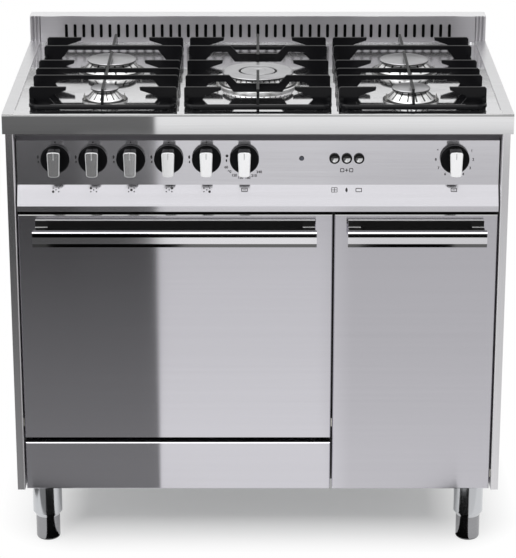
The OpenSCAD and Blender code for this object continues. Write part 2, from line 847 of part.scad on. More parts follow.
// The centre pan support, with dropped bars before and behind the wide burner
module grid_centre() {
  half = grid_w / 2;
  color("black") {
    grid_frame(half);
    for (p = [front_row, rear_row, back_row], s = [0, 1])
      across(p) mirror([s, 0]) translate([-half, 0]) side_finger();
    for (p = [bar_row, rear_bar_row])
      across(p) dropped_bar(half);
    along_x([-blade_t / 2, blade_t / 2])
      translate([y_apron, 0]) {
        polygon([[grid_front, blade_foot], [bar_row + 3, blade_foot],
          [wok_burner - 68, z_cap + 3], [wok_burner - 46, thin_z + 1],
          [wok_burner - 46, z_grid], [grid_front + 12, z_grid],
          [grid_front - 2, blade_foot + 8]]);
        polygon([[wok_burner + 76, thin_z + 1], [rear_bar_row - 12, thin_z - 2],
          [rear_bar_row - 3, blade_foot + 4], [grid_rear, blade_foot],
          [grid_rear + 2, blade_foot + 8], [grid_rear - 12, z_grid],
          [wok_burner + 76, z_grid]]);
      }
  }
}

// ---------------------------------------------------------------- controls

// The folded fascia: upright face, slanted face, lower strip and two flanges
module fascia() {
  y1 = y_door;
  outline = [[y_fascia, z_fascia_top], [y_fascia, z_slant_top], [y1, z_strip_top],
    [y1, z_fascia], [y_frame, z_fascia], [y_frame, z_fascia_top]];
  inner = [[y_fascia + sheet, z_fascia_top - sheet], [y_fascia + sheet, z_slant_top - 0.5],
    [y1 + sheet, z_strip_top - 0.5], [y1 + sheet, z_fascia + sheet],
    [y_frame + 1, z_fascia + sheet], [y_frame + 1, z_fascia_top - sheet]];
  color("silver")
    difference() {
      along_x([-x_fascia, x_fascia]) polygon(outline);
      along_x([sheet - x_fascia, x_fascia - sheet]) polygon(inner);
      for (x = knob_xs)
        bar_y(spindle_d / 2 + 3, x, shift(y_fascia, [-1, sheet + 1]), z_knob);
      for (x = button_xs)
        bar_y(bezel_d / 2 - 1.5, x, shift(y_fascia, [-1, sheet + 1]), z_knob);
      bar_y(lamp_d / 2 - 0.8, lamp_x, shift(y_fascia, [-1, sheet + 1]), z_knob);
    }
}

// The outline of a knob's grip bar: almost straight ends of two widths, rounded corners
module bar_outline(grow) {
  top = bar_top_w / 2;
  foot = bar_foot_w / 2;
  end = bar_len / 2;
  offset(r = bar_corner + grow)
    offset(delta = -bar_corner)
      polygon([[-foot, 1.4 - end], [-foot / 2, 0.3 - end], [0, -end], [foot / 2, 0.3 - end],
        [foot, 1.4 - end], [top, end - 1], [0, end], [-top, end - 1]]);
}

// A knob with its spindle: round skirt, upright grip bar with a pointer groove
module knob(x) {
  y0 = y_fascia - knob_clear - skirt_t;
  y1 = y_fascia - knob_reach;
  translate([x, 0, z_knob])
    difference() {
      union() {
        translate([0, y_fascia - knob_clear, 0]) rotate([90, 0, 0])
          rotate_extrude()
            polygon([[0, 0], [knob_d / 2, 0], [knob_d / 2, skirt_t - 3],
              [knob_d / 2 - 1, skirt_t - 1], [knob_d / 2 - 3, skirt_t], [0, skirt_t]]);
        along_y([y1 + 1.5, y0 + 1]) bar_outline(0);
        along_y([y1, y1 + 1.5]) bar_outline(-1.2);
        bar_y(spindle_d / 2, 0, [y_fascia - knob_clear - 1, y_tap + tap_bore - 1], 0);
      }
      block([-0.8, 0.8], shift(y1, [-1, 0.6]), [bar_len / 2 - 14, bar_len / 2 + 1]);
    }
}

module knob_1() {
  color("silver") knob(knob_xs[0]);
}

module knob_2() {
  color("silver") knob(knob_xs[1]);
}

module knob_3() {
  color("silver") knob(knob_xs[2]);
}

module knob_4() {
  color("silver") knob(knob_xs[3]);
}

module knob_5() {
  color("silver") knob(knob_xs[4]);
}

module knob_6() {
  color("silver") knob(knob_xs[5]);
}

module knob_7() {
  color("silver") knob(knob_xs[6]);
}

// Bezels: a collar on the fascia with its bush through the hole
module button_bezels() {
  color("black")
    for (x = button_xs)
      difference() {
        union() {
          bar_y(bezel_d / 2, x, shift(y_fascia, [-3, 0]), z_knob);
          bar_y(bezel_d / 2 - 1.5, x, shift(y_fascia, [-1, 5]), z_knob);
        }
        bar_y(button_d / 2 + 0.3, x, shift(y_fascia, [-4, 6]), z_knob);
      }
}

// A button: domed cap, stem through the bezel, retaining flange behind it
module button(x) {
  dome_r = button_d * 1.3;
  face = y_fascia - 3 - button_travel;
  intersection() {
    bar_y(button_d / 2, x, [face, y_fascia + 6], z_knob);
    union() {
      translate([x, face + dome_r, z_knob]) sphere(r = dome_r);
      block(shift(x, [-button_d, button_d]), [face + dome_r, y_fascia + 7],
        shift(z_knob, [-button_d, button_d]));
    }
  }
  bar_y(button_d / 2 + 1.2, x, shift(y_fascia, [5.4, 7]), z_knob);
}

module button_1() {
  color("silver") button(button_xs[0]);
}

module button_2() {
  color("silver") button(button_xs[1]);
}

module button_3() {
  color("silver") button(button_xs[2]);
}

module indicator_lamp() {
  color("orangered") {
    bar_y(lamp_d / 2 - 1, lamp_x, shift(y_fascia, [-1, 10]), z_knob);
    difference() {
      translate([lamp_x, y_fascia + lamp_d / 4, z_knob]) sphere(r = lamp_d * 0.56);
      block(around(lamp_x, lamp_d), shift(y_fascia, [0, lamp_d]), around(z_knob, lamp_d));
    }
  }
}

// The gas rail between the side panels, with the inlet pipe to the back
module gas_rail() {
  color("goldenrod") {
    bar_x(rail_d / 2, [-x_wall, x_wall], y_rail, z_rail);
    bar_y(rail_d / 2 - 3, x_inlet, [y_rail, y_rear - inlet_l - 2], z_rail);
    bar_y(inlet_d / 2, x_inlet, [y_rear - inlet_l - 1, y_rear - 1], z_rail);
    translate([x_inlet, y_rear - inlet_l - 1, z_rail]) rotate([90, 0, 0])
      cylinder(r = inlet_d / 2 + 3, h = 5, $fn = 6);
  }
}

// Tap and thermostat bodies: one behind each knob, saddled on the rail
module gas_taps() {
  color("goldenrod")
    for (x = knob_xs)
      difference() {
        union() {
          bar_y(tap_r, x, [y_tap, y_rail + rail_d / 2 + 4], z_knob);
          block(around(x, saddle_w / 2), around(y_rail, saddle_w / 2), [z_rail, z_knob]);
          bar_y(tap_r - 4, x, shift(y_rail, [rail_d / 2, rail_d / 2 + outlet_l]), z_knob);
        }
        bar_x(rail_d / 2, around(x, saddle_w), y_rail, z_rail);
        bar_y(spindle_d / 2 + run_clear, x, shift(y_tap, [-1, tap_bore]), z_knob);
      }
}

// The terminal box for the mains cable on the back panel, with its cable entry below
module terminal_box() {
  x0 = -x_side + 60;
  z0 = z_base + 60;
  y1 = y_rear - 2;
  color("dimgray")
    difference() {
      block(shift(x0, [0, terminal_w]), [y_back + sheet, y1], shift(z0, [0, terminal_h]));
      block(shift(x0, [3, terminal_w - 3]), [y_back + sheet - 1, y1 - 3], shift(z0, [14, terminal_h - 3]));
      bar_z(gland_d / 2, x0 + terminal_w / 2, (y_back + sheet + y1) / 2, shift(z0, [-1, 15]));
    }
}

// ---------------------------------------------------------------- ovens

// One oven: flanged mouth, walls, back and side ribs for the racks
module oven(x, z, w, h) {
  y0 = y_frame - flange_t;
  y1 = y_frame + oven_d;
  difference() {
    union() {
      block(around(x, w / 2 + flange_w), [y0, y_frame], shift(z, [-flange_w, h + flange_w]));
      block(around(x, w / 2 + sheet), [y0, y1], shift(z, [-sheet, h + sheet]));
    }
    block(around(x, w / 2), [y0 - 1, y1 - sheet], shift(z, [0, h]));
  }
  for (i = [1 : rack_levels], s = [-1, 1])
    block(shift(x + s * w / 2, s > 0 ? [-rib_w, 0] : [0, rib_w]), [y_frame + 20, y1 - sheet],
      shift(z + i * h / (rack_levels + 1), [-rib_h, 0]));
}

module oven_left() {
  color("dimgray") oven(x_left_oven, z_left_oven, left_oven_w, left_oven_h);
}

module oven_right() {
  color("dimgray") oven(x_right_oven, z_right_oven, right_oven_w, right_oven_h);
}

// A wire rack lying on the second level of ribs
module rack(x, z, w, h) {
  r = rack_frame_d / 2;
  wr = rack_wire_d / 2;
  half = w / 2 - rack_clear - r;
  y0 = y_frame + 30;
  y1 = y_frame + oven_d - 20;
  zc = z + 2 * h / (rack_levels + 1) + r;
  count = floor(w / 30);
  for (s = [-1, 1]) {
    bar_y(r, x + s * half, [y0, y1], zc);
    bar_x(r, shift(x, [-half, half]), (s > 0 ? y1 : y0), zc);
    for (y = [y0, y1]) translate([x + s * half, y, zc]) sphere(r = r);
  }
  for (i = [1 : count])
    bar_y(wr, x - half + i * 2 * half / (count + 1), [y0, y1], zc + r - wr);
}

module rack_left() {
  color("silver") rack(x_left_oven, z_left_oven, left_oven_w, left_oven_h);
}

module rack_right() {
  color("silver") rack(x_right_oven, z_right_oven, right_oven_w, right_oven_h);
}

// A hairpin grill element on a plate at the back of each oven, under its roof
module grill_element(x, z, w) {
  y1 = y_frame + oven_d - sheet;
  half = w / 2 - element_in;
  bend = element_bend;
  y0 = y_frame + element_front + half / 4;
  block(around(x, half + element_d + 2), [y1 - sheet, y1], around(z, element_d));
  for (s = [-1, 1])
    bar_y(element_d / 2, x + s * half, [y0, y1 - 1], z);
  for (s = [-1, 1])
    translate([x + s * (half - bend), y0, z]) rotate([0, 0, s > 0 ? -90 : 180])
      rotate_extrude(angle = 90) translate([bend, 0]) circle(d = element_d);
  bar_x(element_d / 2, around(x, half - bend), y0 - bend, z);
}

module grill_elements() {
  color("dimgray") {
    grill_element(x_left_oven, z_left_oven + left_oven_h - element_down, left_oven_w);
    grill_element(x_right_oven, z_right_oven + right_oven_h - element_down, right_oven_w);
  }
}

// A gasket: a flat ring of braid on the flange round an oven's mouth
module gasket(x, z, w, h) {
  g = gasket_w;
  translate([x, y_frame - flange_t, z + h / 2]) rotate([90, 0, 0])
    linear_extrude(seal_space - flange_t - gasket_clear)
      difference() {
        rounded(w + 4 + 2 * g, h + 4 + 2 * g, g + 6);
        rounded(w + 4, h + 4, 6);
      }
}

module gaskets() {
  color("black") {
    gasket(x_left_oven, z_left_oven, left_oven_w, left_oven_h);
    gasket(x_right_oven, z_right_oven, right_oven_w, right_oven_h);
  }
}

// ---------------------------------------------------------------- doors

// Hinge arms on the front frame: each has an eye with its pin, in line with the axis
module hinge_arm(x, z) {
  bar_x(eye_r, around(x, hinge_arm_t / 2), y_hinge, z);
  block(around(x, hinge_arm_t / 2), [y_hinge, y_frame], shift(z, [-eye_r, eye_r]));
  bar_x(hinge_pin_d / 2, around(x, slot_x / 2 + cheek_t), y_hinge, z);
}

module hinge_arms() {
  left_z = z_left_door + hinge_up;
  right_z = z_right_door + hinge_up;
  color("silver") {
    for (x = [hinge_in - x_door, x_left_door - hinge_in]) hinge_arm(x, left_z);
    for (x = [x_right_door + hinge_in, x_door - hinge_in]) hinge_arm(x, right_z);
    for (b = [[1 - x_return, left_z + 8], [x_split, left_z + 8], [x_return - 1, right_z + 8]])
      block(shift(b[0], [-1, 1]), [y_door + 8, y_frame], shift(b[1], [0, 16]));
  }
}

// The slots in a door's lower corners that leave room for the hinge arms
module hinge_slots(x0, x1, z) {
  for (x = [x0 + hinge_in, x1 - hinge_in])
    block(around(x, slot_x / 2), [y_hinge - eye_r - eye_clear, y_door_back + plug_t + 1],
      [z - 1, z + hinge_up + eye_r + eye_clear]);
}

// A door's outer skin: a pan of steel, open at the back
module door_skin(x0, x1, z) {
  depth = door_t - sheet;
  difference() {
    front_block([x0, x1], shift(y_door, [0, depth]), [z, z_door_top]);
    block([x0 + sheet, x1 - sheet], shift(y_door, [sheet, depth + 1]), [z + sheet, z_door_top - sheet]);
    hinge_slots(x0, x1, z);
  }
}

// A door's inner liner: back plate, raised plug, and a hinge receiver at each corner
module door_liner(x0, x1, z, ox, oz, ow, oh) {
  y1 = y_door_back - sheet;
  plug = 14;
  difference() {
    union() {
      block([x0, x1], [y1, y_door_back], [z, z_door_top]);
      block(around(ox, ow / 2 - plug), [y1, y_door_back + plug_t], shift(oz, [plug, oh - plug]));
      for (x = [x0 + hinge_in, x1 - hinge_in])
        block(around(x, slot_x / 2 + cheek_t), [y_hinge - eye_r - eye_clear, y1],
          [z + sheet + 0.5, z + hinge_up + eye_r + 12]);
    }
    block(around(ox, ow / 2 - plug - 3), [y1 - 1, y_door_back + plug_t - sheet],
      shift(oz, [plug + 3, oh - plug - 3]));
    hinge_slots(x0, x1, z);
    for (x = [x0 + hinge_in, x1 - hinge_in])
      bar_x(hinge_pin_d / 2 + run_clear, around(x, slot_x / 2 + cheek_t + 1), y_hinge,
        z + hinge_up);
  }
}

module door_left_skin() {
  color("gray") door_skin(-x_door, x_left_door, z_left_door);
}

module door_right_skin() {
  color("lightgray") door_skin(x_right_door, x_door, z_right_door);
}

module door_left_liner() {
  color("dimgray")
    door_liner(-x_door, x_left_door, z_left_door, x_left_oven, z_left_oven, left_oven_w,
      left_oven_h);
}

module door_right_liner() {
  color("dimgray")
    door_liner(x_right_door, x_door, z_right_door, x_right_oven, z_right_oven, right_oven_w,
      right_oven_h);
}

// A grip: a bar with a thin upper lip, a groove under it and a chamfered foot
module grip(x0, x1) {
  h = grip_h;
  t = grip_t;
  translate([0, 0, z_grip])
    along_x([x0, x1])
      translate([y_grip, 0])
        polygon([[5, 0], [t - 2, 0], [t, 2], [t, h - 2], [t - 2, h], [1, h], [0, h - 1],
          [0, h - 2.5], [2.5, h - 3], [2.5, h - 8], [0, h - 9], [0, 8]]);
}

// The grip's black trim on the door and its two stand-off posts
module grip_mount(x0, x1) {
  block([x0 + 2, x1 - 2], shift(y_door, [-trim_t, 0]),
    shift(z_grip + grip_h + trim_up, [-trim_h, 0]));
  for (x = [x0 + 2, x1 - 2 - post_w])
    block([x, x + post_w], [y_grip + grip_t, y_door - trim_t], shift(z_grip, [3, grip_h - 3]));
}

module handle_left() {
  color("silver") grip(left_grip_in - x_door, x_left_door - left_grip_in);
}

module handle_right() {
  color("silver") grip(x_right_door + right_grip_in, x_door - right_grip_in);
}

module handle_mount_left() {
  color("black") grip_mount(left_grip_in - x_door, x_left_door - left_grip_in);
}

module handle_mount_right() {
  color("black") grip_mount(x_right_door + right_grip_in, x_door - right_grip_in);
}

// ---------------------------------------------------------------- drawer

drawer_x = [-x_door + drawer_in, x_left_door - drawer_in];
z_drawer_box = z_base + 6;
drawer_front_t = 18;

module drawer_front() {
  color("gray")
    difference() {
      front_block([-x_door, x_left_door], shift(y_door, [0, drawer_front_t]),
        [z_right_door, z_drawer_top]);
      block([sheet - x_door, x_left_door - sheet], shift(y_door, [sheet, drawer_front_t + 1]),
        [z_right_door + sheet, z_drawer_top - sheet]);
    }
}

// The drawer's box, its front wall closing the back of the drawer's front
module drawer_box() {
  y0 = y_door + drawer_front_t;
  y1 = y0 + drawer_d;
  color("darkgray")
    difference() {
      union() {
        block([1 - x_door, x_left_door - 1], shift(y0, [0, sheet]),
          [max(z_right_door + 1, z_drawer_box), z_drawer_top - 1]);
        block(drawer_x, [y0, y1], shift(z_drawer_box, [0, drawer_box_h]));
      }
      block(drawer_x + [sheet, -sheet], [y0 + sheet, y1 - sheet],
        shift(z_drawer_box, [sheet, drawer_box_h + 1]));
    }
}

// Two runners on the base, each a rail under the box and a lip beside it
module drawer_runners() {
  color("silver")
    for (s = [0, 1]) {
      edge = drawer_x[s];
      out = s == 0 ? -1 : 1;
      rail = [edge - out * runner_w, edge + out * (runner_clear + sheet)];
      lip = [edge + out * runner_clear, edge + out * (runner_clear + sheet)];
      y = [y_frame + 2 * sheet, y_frame + drawer_d - runner_end];
      block([min(rail), max(rail)], y, [z_base, z_drawer_box - runner_clear]);
      block([min(lip), max(lip)], y, [z_base, z_drawer_box + runner_lip]);
    }
}

side_panel_left();
side_panel_right();
base_pan();
back_panel();
front_frame();
centre_partition();
hob_top();
upstand();
upstand_ends();
fascia();
leg_sleeves();
leg_feet();
burner_rear_left();
burner_rear_right();
burner_front_left();
burner_front_right();
burner_wok();
cap_rear_left();
cap_rear_right();
cap_front_left();
cap_front_right();
wok_ring();
wok_cap();
electrodes();
grid_left();
grid_centre();
grid_right();
gas_rail();
gas_taps();
terminal_box();
knob_1();
knob_2();
knob_3();
knob_4();
knob_5();
knob_6();
knob_7();
button_bezels();
button_1();
button_2();
button_3();
indicator_lamp();
oven_left();
oven_right();
rack_left();
rack_right();
grill_elements();
gaskets();
hinge_arms();
door_left_skin();
door_left_liner();
handle_left();
handle_mount_left();
door_right_skin();
door_right_liner();
handle_right();
handle_mount_right();
drawer_box();
drawer_front();
drawer_runners();
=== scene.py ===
"""The looks of a free-standing range cooker with a gas hob and two ovens: its finishes,
prints and screws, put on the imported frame, and the studio that it is seen in."""

import bpy
import numpy as np
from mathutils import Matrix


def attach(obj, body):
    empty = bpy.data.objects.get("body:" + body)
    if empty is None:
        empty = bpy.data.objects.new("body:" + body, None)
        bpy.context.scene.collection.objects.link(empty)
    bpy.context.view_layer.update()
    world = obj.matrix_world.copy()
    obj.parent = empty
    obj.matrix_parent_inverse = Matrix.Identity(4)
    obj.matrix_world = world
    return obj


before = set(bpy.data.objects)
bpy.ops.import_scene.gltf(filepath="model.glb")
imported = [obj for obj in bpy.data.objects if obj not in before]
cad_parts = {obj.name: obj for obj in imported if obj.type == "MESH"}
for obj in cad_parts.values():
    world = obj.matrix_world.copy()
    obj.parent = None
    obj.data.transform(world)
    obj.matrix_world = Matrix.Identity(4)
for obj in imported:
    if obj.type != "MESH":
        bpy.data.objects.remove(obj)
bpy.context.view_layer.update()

# ---------------------------------------------------------------- studio
# The cooker stands on a white studio floor under a wide soft light. A board of light and
# dark bands lies before it, a grey flag beside it and a black one before each front leg.
# Only polished metal shows them: they give the doors their dark left part.


def grey(brightness):
    """A colour with the same share of red, green and blue."""
    return (brightness,) * 3


class Signal:
    """One output of a node graph; arithmetic on it adds Math nodes."""

    def __init__(self, graph, socket):
        self.graph, self.socket = graph, socket

    def math(self, operation, *others, clamp=False):
        """The result of one Math node on this value and others."""
        settings = {"operation": operation, "use_clamp": clamp}
        return self.graph.node("ShaderNodeMath", settings, (self, *others))

    def __add__(self, other):
        return self.math("ADD", other)

    __radd__ = __add__

    def __sub__(self, other):
        return self.math("SUBTRACT", other)

    def __rsub__(self, other):
        """The other less this one, as this one times -1 plus the other."""
        return self.math("MULTIPLY_ADD", -1.0, other)

    def __mul__(self, other):
        return self.math("MULTIPLY", other)

    __rmul__ = __mul__

    def __truediv__(self, other):
        return self.math("DIVIDE", other)

    def __pow__(self, other):
        return self.math("POWER", other)

    def __abs__(self):
        return self.math("ABSOLUTE")

    def above(self, edge, soft=1e-4):
        """0 below the edge and 1 above it, with a ramp of the given width between."""
        return (self - (edge - soft / 2)).math("DIVIDE", soft, clamp=True)

    def below(self, edge, soft=1e-4):
        """1 below the edge and 0 above it."""
        return 1 - self.above(edge, soft)

    def within(self, low, high, soft=1e-4):
        """1 between two edges and 0 outside them."""
        return self.above(low, soft) * self.below(high, soft)


class Graph:
    """A node tree of a material or of the sky."""

    def __init__(self, tree):
        self.tree = tree

    def node(self, kind, settings, sockets=(), out=0):
        """Adds a node: its settings or a ramp's stops first, then the values or links of its
        sockets, which are given in order or by name or number."""
        node = self.tree.nodes.new(kind)
        for key, value in settings.items():
            if key == "stops":
                elements = node.color_ramp.elements
                while len(elements) < len(value):
                    elements.new(0.5)
                for element, (position, brightness) in zip(elements, value):
                    element.position, element.color = position, (*grey(brightness), 1)
            else:
                setattr(node, key, value)
        for key, value in sockets.items() if isinstance(sockets, dict) else enumerate(sockets):
            if isinstance(value, Signal):
                self.tree.links.new(value.socket, node.inputs[key])
            else:
                node.inputs[key].default_value = value
        return Signal(self, node.outputs[out])

    def ramp(self, value, stops):
        """A grey that follows a value through stops of place and brightness."""
        return self.node("ShaderNodeValToRGB", {"stops": stops}, [value])

    def show(self, shader):
        """Sends a shader to the tree's output."""
        end = next(n for n in self.tree.nodes if n.type.startswith("OUTPUT"))
        self.tree.links.new(shader.socket, end.inputs[0])


class Finish(Graph):
    """A material with one shader, on the place of each point in the cooker's own frame.
    What varies over it is fed to the shader; what doesn't is given here."""

    def __init__(self, name, colour=(0.8, 0.8, 0.8), roughness=0.5, metallic=0.0, **fixed):
        self.material = bpy.data.materials.new(name)
        self.material.use_nodes = True
        super().__init__(self.material.node_tree)
        self.shader = self.tree.nodes["Principled BSDF"]
        self.shader.inputs["Base Color"].default_value = (*colour, 1)
        self.shader.inputs["Roughness"].default_value = roughness
        self.shader.inputs["Metallic"].default_value = metallic
        for key, value in fixed.items():
            self.shader.inputs[key.replace("_", " ")].default_value = value
        self.place = self.node("ShaderNodeTexCoord", {}, out="Object")
        self.x, self.y, self.z = (
            self.node("ShaderNodeSeparateXYZ", {}, [self.place], axis) for axis in "XYZ")

    def feed(self, socket, value):
        """Links a value that varies over the piece to a socket of its shader."""
        self.tree.links.new(value.socket, self.shader.inputs[socket])

    def stretched(self, scale):
        """The place in the cooker's frame, scaled along each axis."""
        return self.node("ShaderNodeMapping", {}, {"Vector": self.place, "Scale": scale})

    def noise(self, scale, detail=2.0):
        """Soft noise of 0 to 1, with so many waves to the metre along each axis."""
        return self.node("ShaderNodeTexNoise", {}, {"Vector": self.stretched(scale),
                                                    "Scale": 1.0, "Detail": detail})

    def cells(self, scale, out="Distance"):
        """The distance to the nearest of scattered points, or that point's own colour."""
        return self.node("ShaderNodeTexVoronoi", {}, {"Vector": self.stretched(scale),
                                                      "Scale": 1.0}, out)

    def mix(self, mask, low, high):
        """One colour where the mask is 0 and another where it is 1."""
        low, high = (c if isinstance(c, Signal) else (*c, 1) for c in (low, high))
        return self.node("ShaderNodeMix", {"data_type": "RGBA"}, {0: mask, 6: low, 7: high}, 2)

    def relief(self, height, depth):
        """Bumps the surface by a height of 0 to 1 times the depth in metres."""
        self.feed("Normal", self.node("ShaderNodeBump", {}, {"Height": height, "Distance": depth,
                                                             "Strength": 1.0}))

    def on(self, *nodes):
        """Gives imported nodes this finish."""
        for name in nodes:
            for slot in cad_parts[name].material_slots:
                slot.material = self.material


def surface(name, points, faces, finish):
    """An object at the origin from points in metres and faces."""
    mesh = bpy.data.meshes.new(name)
    mesh.from_pydata(np.asarray(points, float).tolist(), [], [list(map(int, f)) for f in faces])
    mesh.materials.append(finish.material)
    piece = bpy.data.objects.new(name, mesh)
    bpy.context.scene.collection.objects.link(piece)
    return piece


def stage(name, corners, z, finish, only_glossy=False):
    """A flat board from the x and y of its four corners; it is no part of the cooker."""
    board = surface(name, [(x, y, z) for x, y in corners], [(0, 1, 2, 3)], finish)
    if only_glossy:
        board.visible_camera = False
        board.visible_diffuse = False
        board.visible_transmission = False
        board.visible_shadow = False
        board.visible_volume_scatter = False


def rectangle(x0, y0, x1, y1):
    """The four corners of a rectangle, in order round it."""
    return (x0, y0), (x1, y0), (x1, y1), (x0, y1)


def glowing(name, brightness=1.0):
    """A finish that only shines and mirrors nothing."""
    return Finish(name, grey(0.0), 1.0, Specular_IOR_Level=0.0,
                  Emission_Color=(*grey(brightness), 1), Emission_Strength=1.0)


# The floor fades from its own lit surface, which carries the cooker's shadow, to plain
# white with the distance from the rectangle that the legs stand on
legs_x, legs_y, legs_middle_y = 0.33, 0.13, 0.02
white_at_legs, white_per_metre = 0.2, 4.6
floor_size = 14
floor_finish = Finish("studio_floor", grey(0.9), 0.9, Specular_IOR_Level=0.0)
beside = (abs(floor_finish.x) - legs_x).math("MAXIMUM", 0.0)
before = (abs(floor_finish.y - legs_middle_y) - legs_y).math("MAXIMUM", 0.0)
away = (beside ** 2 + before ** 2) ** 0.5
seen, mirrored, through = (floor_finish.node("ShaderNodeLightPath", {}, out=ray) for ray in
                           ("Is Camera Ray", "Is Glossy Ray", "Is Transmission Ray"))
shown = (seen + mirrored + through).math("MINIMUM", 1.0)
whiteness = (white_at_legs + away * white_per_metre).math("MINIMUM", 1.0)
lit_floor = Signal(floor_finish, floor_finish.shader.outputs[0])
white = floor_finish.node("ShaderNodeEmission", {}, [(1, 1, 1, 1), 1.0])
floor_finish.show(floor_finish.node("ShaderNodeMixShader", {},
                                    [whiteness * shown, lit_floor, white]))
stage("studio_floor", rectangle(-floor_size, -floor_size, floor_size, floor_size), 0,
      floor_finish)

# The camera stands 4 m before the apron, a little over head height
camera_y, camera_z, camera_pitch = -4.286, 1.922, 19.0
focal_px, frame_px, sensor_mm = 2355, 558, 36
camera = bpy.data.objects.new("camera", bpy.data.cameras.new("camera"))
camera.location = (0.0002, camera_y, camera_z)
camera.rotation_euler = (np.radians(90 - camera_pitch), 0, 0)
camera.data.sensor_width = sensor_mm
camera.data.lens = focal_px / frame_px * sensor_mm
camera.data.clip_end = 60
bpy.context.scene.collection.objects.link(camera)
bpy.context.scene.camera = camera

# The banded board is light on the right and dark on the left of a line that runs away
# from the doors, so that its mirror image in them has an upright edge. Its bands go by the
# distance from the doors, as a share of the camera's.
edge_x, door_y = -0.181, -0.266
board_x, board_near, board_far, board_z = 3.5, -0.34, -8, 0.002
boards = glowing("studio_boards")
along = (boards.y - door_y) / (camera_y - door_y)
across = boards.x / (1 + along)
lit = boards.ramp(along, ((0.0, 0.86), (0.1, 0.83), (0.27, 0.71), (0.48, 0.66), (0.58, 0.55),
                          (0.71, 0.5), (0.76, 0.98), (1.0, 0.98)))
lit = lit * (1 + 0.26 * across.below(0.14, 0.06) * along.below(0.56, 0.2))
dark = boards.ramp(along, ((0.0, 0.3), (0.12, 0.25), (0.48, 0.07), (0.65, 0.05), (0.76, 0.16),
                           (1.0, 0.16)))
dark = dark + 0.15 * along.within(0.56, 0.73, 0.03) * across.above(-0.316, 0.03)
tone = dark + (lit - dark) * across.above(edge_x, 0.006)
boards.feed("Emission Color", boards.mix(tone, grey(0), grey(1)))
stage("front_boards", rectangle(-board_x, board_far, board_x, board_near), board_z, boards,
      only_glossy=True)

# The grey flag lies left of the cooker, beside its side panel
stage("flag_beside", rectangle(-board_x, board_near, -0.62, 0.3), board_z,
      glowing("grey_flag", 0.16), only_glossy=True)

# The black flags are fanned out before the front legs, to draw a dark streak on the chrome
flag_z = 0.004
black_flag = Finish("black_flag", grey(0.01), 1.0, Specular_IOR_Level=0.0)
stage("flag_left", ((-0.4, -0.21), (-0.45, -0.55), (-0.1, -0.45), (-0.36, -0.21)), flag_z,
      black_flag, only_glossy=True)
stage("flag_right", ((0.38, -0.2), (0.1, -0.3), (0.395, -0.55), (0.4, -0.21)), flag_z,
      black_flag, only_glossy=True)

# One wide soft lamp overhead and one from the front left; the sky gives the rest
for name, place, size, power, turn in (
        ("lamp_above", (-0.5, -0.6, 3.0), 2.6, 46, (0, 0, 0)),
        ("lamp_front", (-2.2, -3.0, 2.6), 1.8, 30, (54, 0, -36))):
    lamp = bpy.data.objects.new(name, bpy.data.lights.new(name, "AREA"))
    lamp.data.size = size
    lamp.data.energy = power
    lamp.location = place
    lamp.rotation_euler = np.radians(turn)
    bpy.context.scene.collection.objects.link(lamp)

# The sky is white behind the cooker and even on matt parts. In metal it is a wall of
# bands by height: the low ones, dark and bright, lie across the hob's flat pan.
sky_strength = 0.55
world = bpy.data.worlds.new("sky")
world.use_nodes = True
bpy.context.scene.world = world
sky = Graph(world.node_tree)
upward = sky.node("ShaderNodeSeparateXYZ", {},
                  [sky.node("ShaderNodeTexCoord", {}, out="Generated")], "Z")
bands = sky.ramp(upward, (
    (0.0, 0.8), (0.15, 0.8), (0.222, 0.95), (0.227, 0.3), (0.2315, 0.3), (0.232, 0.9),
    (0.2335, 0.9), (0.234, 0.22), (0.243, 0.2), (0.2445, 0.95), (0.3, 0.95), (0.45, 0.9),
    (0.75, 1.0), (1.0, 0.7)))
backdrop = sky.node("ShaderNodeBackground", {}, [(1, 1, 1, 1), 1.0])
mirrored_sky = sky.node("ShaderNodeBackground", {}, [bands, 1.0])
daylight = sky.node("ShaderNodeBackground", {}, [(1, 1, 1, 1), sky_strength])
in_metal = sky.node("ShaderNodeMixShader", {}, [
    sky.node("ShaderNodeLightPath", {}, out="Is Glossy Ray"), daylight, mirrored_sky])
sky.show(sky.node("ShaderNodeMixShader", {}, [
    sky.node("ShaderNodeLightPath", {}, out="Is Camera Ray"), in_metal, backdrop]))
bpy.context.scene.view_settings.view_transform = "Standard"

# ---------------------------------------------------------------- hob
# The hob is a tray of bright stainless sheet, finely brushed from side to side, with a
# pressed pan and a folded apron and skirts that lie over the casing like a lid. On its
# rear edge stands the upstand, a folded box of duller sheet with punched slots.


def brushed(name, tint, roughness=None, grain=(6, 900, 900), streaks=0.05, depth=4e-6,
            across=0.0):
    """Brushed sheet: long fine scratches along the grain vary gloss, tone and relief, and
    soft smears of handling lie over them. It blurs more across the grain than along it.
    Where no roughness or no depth is given, the caller feeds its own."""
    steel = Finish(name, metallic=1.0, Anisotropic=across, Anisotropic_Rotation=0.25)
    fine = steel.noise(grain, 3.0)
    broad = steel.noise(tuple(0.12 * g for g in grain), 2.0)
    steel.smear = steel.noise((7, 7, 7), 4.0)
    if roughness is not None:
        steel.feed("Roughness", roughness * (0.72 + 0.3 * fine + 0.26 * steel.smear))
    dull = tuple(c * (1 - 2 * streaks) for c in tint)
    bright = tuple(min(1.0, c * (1 + 2 * streaks)) for c in tint)
    steel.tone = steel.mix(0.5 * fine + 0.5 * broad, dull, bright)
    steel.feed("Base Color", steel.tone)
    if depth is not None:
        steel.relief(fine, depth)
    return steel


